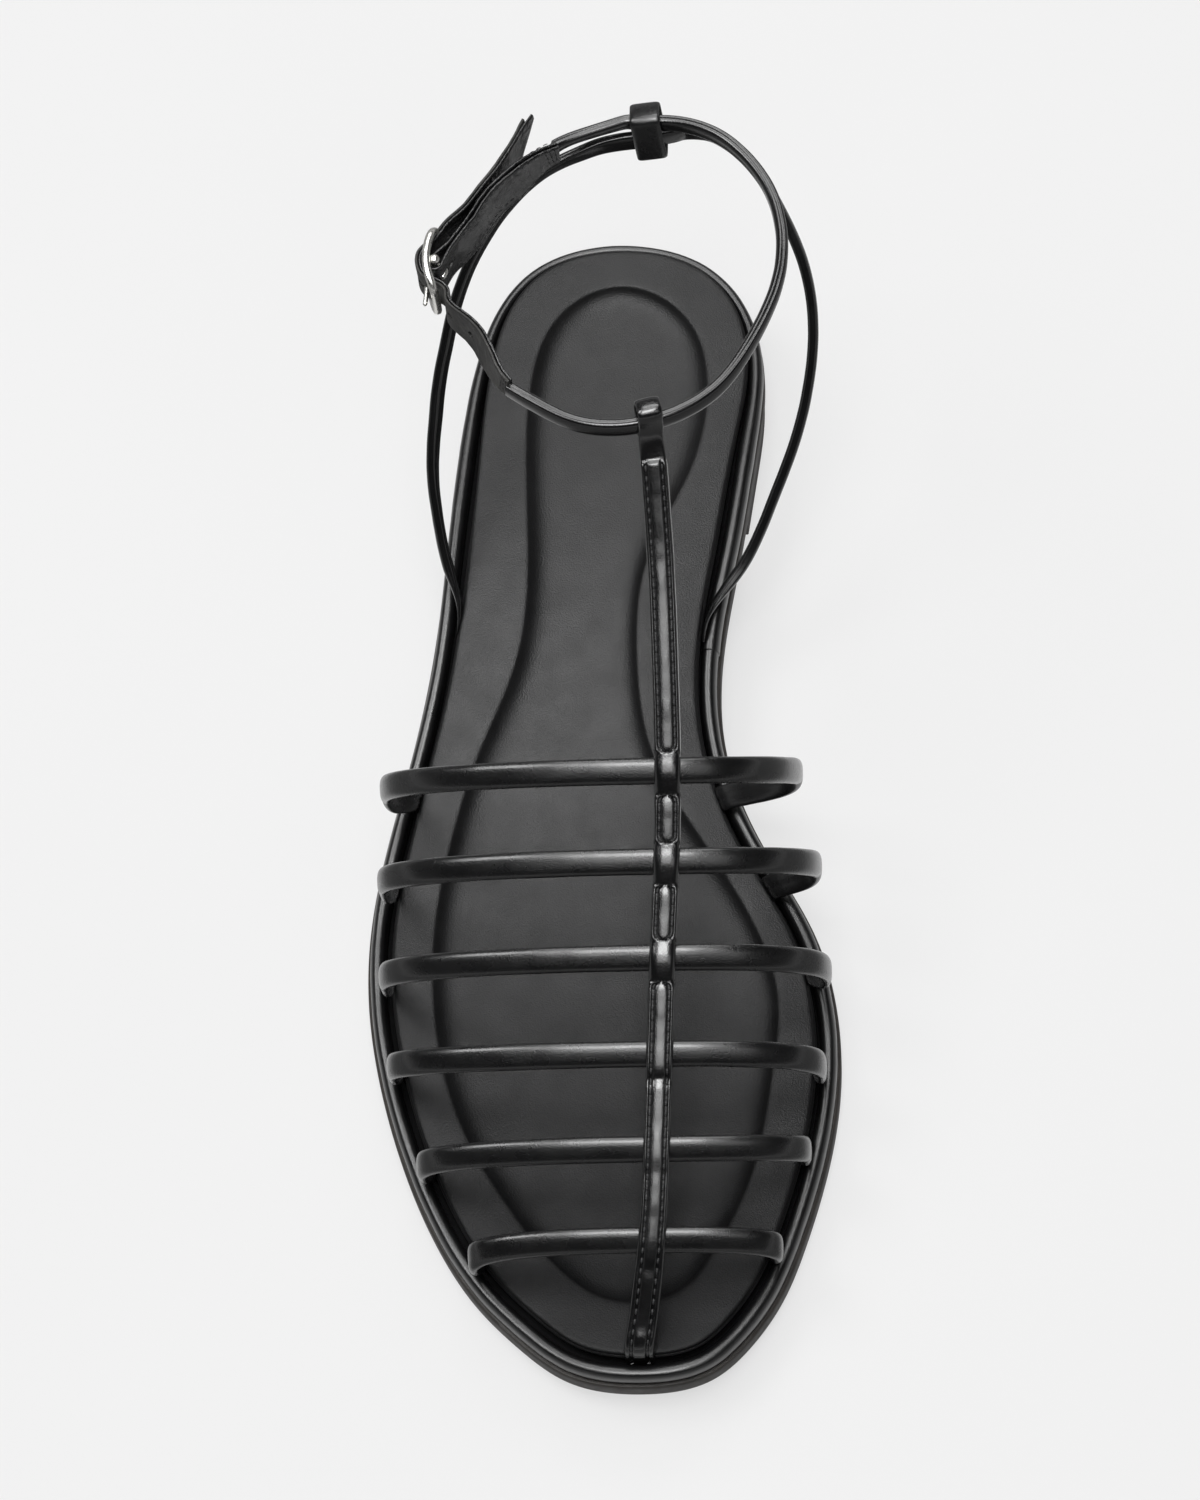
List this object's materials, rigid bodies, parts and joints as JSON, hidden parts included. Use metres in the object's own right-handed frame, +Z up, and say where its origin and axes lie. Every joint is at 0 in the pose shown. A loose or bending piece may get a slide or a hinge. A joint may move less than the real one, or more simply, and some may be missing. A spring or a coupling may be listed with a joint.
{
  "type": "caged fisherman sandal",
  "caption": "Flat caged fisherman sandal with arched cross straps, a central T-strap, a buckled ankle strap, a heel sling and a low block heel.",
  "frame": {"origin": "middle of the bounding box on the floor the sole stands on", "axes": "+Z up, -Y towards the toe, +Y towards the heel, +X towards the medial (big toe) side of this right shoe"},
  "size_m": [0.0994, 0.2556, 0.1025],
  "materials": {
    "outsole_rubber": "satin dark brown-black rubber",
    "heel_rubber": "finely ribbed dark rubber",
    "platform_leather": "semi-gloss black",
    "footbed_leather": "matt pebbled black",
    "upper_leather": "glossy black",
    "ankle_leather": "glossy black",
    "sling_leather": "glossy black",
    "keeper_leather": "glossy black",
    "tab_leather": "glossy black",
    "tongue_leather": "glossy black",
    "buckle_metal": "polished silver",
    "prong_metal": "polished silver"
  },
  "bodies": {
    "root": {"outsole": "outsole_rubber", "heel": "heel_rubber", "platform": "platform_leather", "footbed": "footbed_leather", "upper": "upper_leather", "ankle_strap": "ankle_leather", "heel_sling": "sling_leather", "heel_keeper": "keeper_leather", "buckle_tab": "tab_leather", "tongue_tab": "tongue_leather", "buckle_frame": "buckle_metal", "buckle_prong": "prong_metal"}
  },
  "joints": []
}
